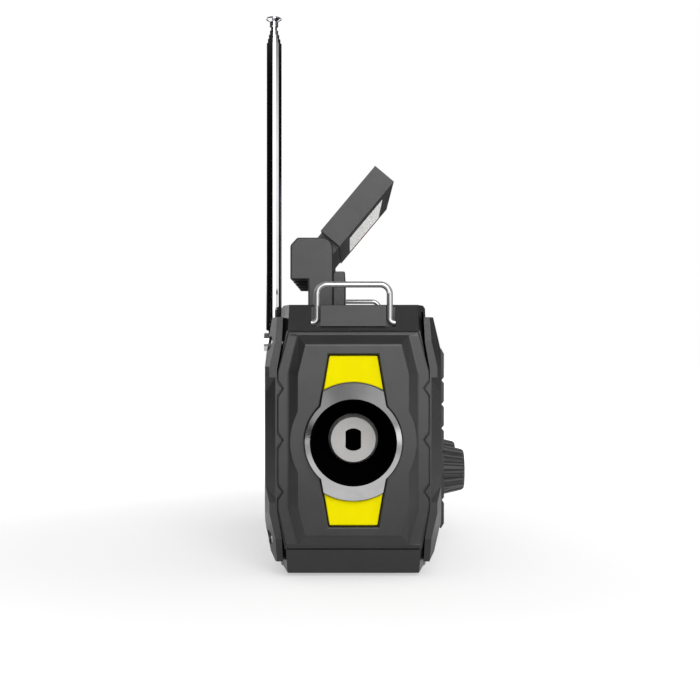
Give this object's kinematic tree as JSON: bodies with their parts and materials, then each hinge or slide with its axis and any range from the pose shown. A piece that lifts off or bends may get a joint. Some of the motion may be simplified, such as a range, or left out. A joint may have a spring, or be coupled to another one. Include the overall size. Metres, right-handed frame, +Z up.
{
  "type": "emergency crank radio",
  "caption": "Portable radio with a folding hand crank, end flashlight, flip-up lamp on a T-shaped handle, strap loops, tuning dial and telescopic antenna.",
  "frame": {"origin": "centre of the base at the underside of the rubber feet", "axes": "+X from the flashlight end to the crank end, -Y to the front with the dial, +Z up"},
  "size_m": [0.2265, 0.0954, 0.253],
  "materials": {
    "body_plastic": "fine textured dark grey moulding",
    "panel_plastic": "textured dark grey end plate",
    "bezel_plastic": "satin dark front",
    "knob_plastic": "fluted knob",
    "bowl_black": "smooth gloss black",
    "chrome_trim": "bright plated",
    "silver_paint": "satin silver",
    "yellow_plastic": "bright yellow insert",
    "antenna_chrome": "polished tube",
    "wire_chrome": "polished wire",
    "steel": "machined",
    "rubber_black": "soft black",
    "speaker_paper": "pressed cone",
    "clear_window": "clear window",
    "dial_card": "plain dial",
    "pointer_red": "red needle and white rack",
    "lens_white": "milky diffuser",
    "lens_red": "translucent red",
    "button_red": "moulded cap",
    "button_grey": "moulded cap",
    "button_orange": "moulded cap",
    "circuit_green": "circuit board",
    "control_blue": "moulded control unit",
    "inner_black": "inner moulding",
    "cell_blue": "wrapped cell",
    "ferrite_grey": "sintered rod with a coil",
    "solar_blue": "dark cells under clear cover",
    "gear_white": "moulded gear",
    "copper_rotor": "wound rotor",
    "led_dark": "unlit lamp on its black board"
  },
  "bodies": {
    "case": {"centre_frame": "body_plastic", "front_shell": "body_plastic", "rear_shell": "body_plastic", "left_end_plate": "panel_plastic", "right_end_plate": "panel_plastic", "front_bezel": "bezel_plastic", "flashlight_bezel": "chrome_trim", "flashlight_bowl": "bowl_black", "lamp_holder": "silver_paint", "flashlight_led": "led_dark", "yellow_inserts": "yellow_plastic", "speaker_basket": "steel", "speaker_cone": "speaker_paper", "dial_window": "clear_window", "dial_plate": "dial_card", "tuner_unit": "control_blue", "volume_unit": "control_blue", "main_board": "circuit_green", "battery_holder": "inner_black", "battery_cells": "cell_blue", "battery_door": "body_plastic", "ferrite_rod": "ferrite_grey", "port_board": "circuit_green", "antenna_screw": "antenna_chrome", "handle_rear": "panel_plastic", "handle_front": "panel_plastic", "lamp_hinge_pin": "steel", "gearbox_plate": "steel", "generator": "steel", "rubber_feet": "rubber_black", "case_screws": "steel"},
    "tuning": {"tuning_shaft": "steel", "tuning_knob": "knob_plastic"},
    "pointer": {"dial_pointer": "pointer_red"},
    "volume": {"volume_shaft": "steel", "volume_knob": "knob_plastic"},
    "power_button": {"power_button": "button_red"},
    "light_button": {"light_button": "button_grey"},
    "alarm_button": {"alarm_button": "button_orange"},
    "band_switch": {"band_switch": "inner_black"},
    "port_cover": {"port_cover": "rubber_black"},
    "antenna": {"antenna_base": "antenna_chrome"},
    "antenna_2": {"antenna_section_2": "antenna_chrome"},
    "antenna_3": {"antenna_section_3": "antenna_chrome"},
    "antenna_4": {"antenna_section_4": "antenna_chrome"},
    "antenna_5": {"antenna_tip": "antenna_chrome"},
    "lamp": {"lamp_housing": "panel_plastic", "lamp_lens": "lens_white", "red_lens": "lens_red", "lamp_board": "circuit_green", "solar_panel": "solar_blue"},
    "loop_left": {"strap_loop_left": "wire_chrome"},
    "loop_right": {"strap_loop_right": "wire_chrome"},
    "crank": {"crank_shaft": "steel", "crank_arm": "body_plastic", "crank_screw": "steel"},
    "crank_fold": {"grip_spindle": "steel"},
    "grip": {"crank_grip": "inner_black"},
    "idler": {"idler_gear": "gear_white"},
    "rotor": {"generator_rotor": "copper_rotor"}
  },
  "joints": [
    {"name": "tuning_turn", "type": "hinge", "parent": "case", "child": "tuning", "pos_m": [0.026, 0, 0.0405], "axis": [0, 1, 0], "range_deg": [-145, 145]},
    {"name": "pointer_slide", "type": "slide", "parent": "case", "child": "pointer", "axis": [1, 0, 0], "range_m": [-0.0245, 0.0245]},
    {"name": "volume_turn", "type": "hinge", "parent": "case", "child": "volume", "pos_m": [-0.026, 0, 0.0405], "axis": [0, 1, 0], "range_deg": [-150, 150]},
    {"name": "power_press", "type": "slide", "parent": "case", "child": "power_button", "axis": [0, 1, 0], "range_m": [0, 0.001], "stiffness_N_per_m": 400, "springref_m": -0.002},
    {"name": "light_press", "type": "slide", "parent": "case", "child": "light_button", "axis": [0, 1, 0], "range_m": [0, 0.001], "stiffness_N_per_m": 400, "springref_m": -0.002},
    {"name": "alarm_press", "type": "slide", "parent": "case", "child": "alarm_button", "axis": [0, 1, 0], "range_m": [0, 0.001], "stiffness_N_per_m": 400, "springref_m": -0.002},
    {"name": "band_slide", "type": "slide", "parent": "case", "child": "band_switch", "axis": [1, 0, 0], "range_m": [-0.004, 0.004]},
    {"name": "port_cover_swing", "type": "hinge", "parent": "case", "child": "port_cover", "pos_m": [-0.0808, 0.0379, 0.0555], "axis": [0, 0, 1], "range_deg": [0, 90]},
    {"name": "antenna_fold", "type": "hinge", "parent": "case", "child": "antenna", "pos_m": [-0.0665, 0.03666, 0.103], "axis": [0, 1, 0], "range_deg": [0, 90]},
    {"name": "antenna_pull_2", "type": "slide", "parent": "antenna", "child": "antenna_2", "axis": [0, 0, 1], "range_m": [0, 0.11]},
    {"name": "antenna_pull_3", "type": "slide", "parent": "antenna_2", "child": "antenna_3", "axis": [0, 0, 1], "range_m": [0, 0.11]},
    {"name": "antenna_pull_4", "type": "slide", "parent": "antenna_3", "child": "antenna_4", "axis": [0, 0, 1], "range_m": [0, 0.11]},
    {"name": "antenna_pull_5", "type": "slide", "parent": "antenna_4", "child": "antenna_5", "axis": [0, 0, 1], "range_m": [0, 0.11]},
    {"name": "lamp_hinge", "type": "hinge", "parent": "case", "child": "lamp", "pos_m": [0, 0.0149, 0.1471], "axis": [-1, 0, 0], "range_deg": [-50, 45]},
    {"name": "loop_left_swing", "type": "hinge", "parent": "case", "child": "loop_left", "pos_m": [-0.0959, 0, 0.1115], "axis": [0, -1, 0], "range_deg": [0, 90]},
    {"name": "loop_right_swing", "type": "hinge", "parent": "case", "child": "loop_right", "pos_m": [0.0959, 0, 0.1115], "axis": [0, 1, 0], "range_deg": [0, 90]},
    {"name": "crank_turn", "type": "hinge", "parent": "case", "child": "crank", "pos_m": [0.1015, 0, 0.06], "axis": [1, 0, 0], "continuous": true},
    {"name": "crank_fold", "type": "hinge", "parent": "crank", "child": "crank_fold", "pos_m": [0.1108, 0, 0.024], "axis": [0, 1, 0], "range_deg": [0, 90]},
    {"name": "grip_spin", "type": "hinge", "parent": "crank_fold", "child": "grip", "pos_m": [0.1108, 0, 0.04], "axis": [0, 0, 1], "continuous": true},
    {"name": "idler_turn", "type": "hinge", "parent": "case", "child": "idler", "pos_m": [0.08, 0, 0.0284], "axis": [1, 0, 0], "continuous": true},
    {"name": "rotor_turn", "type": "hinge", "parent": "case", "child": "rotor", "pos_m": [0.06, 0.01707, 0.0408], "axis": [1, 0, 0], "continuous": true}
  ],
  "couplings": [
    {"joint": "pointer_slide", "follows": "tuning_turn", "m_per_rad": 0.0096},
    {"joint": "idler_turn", "follows": "crank_turn", "ratio": -4},
    {"joint": "rotor_turn", "follows": "crank_turn", "ratio": 16}
  ]
}
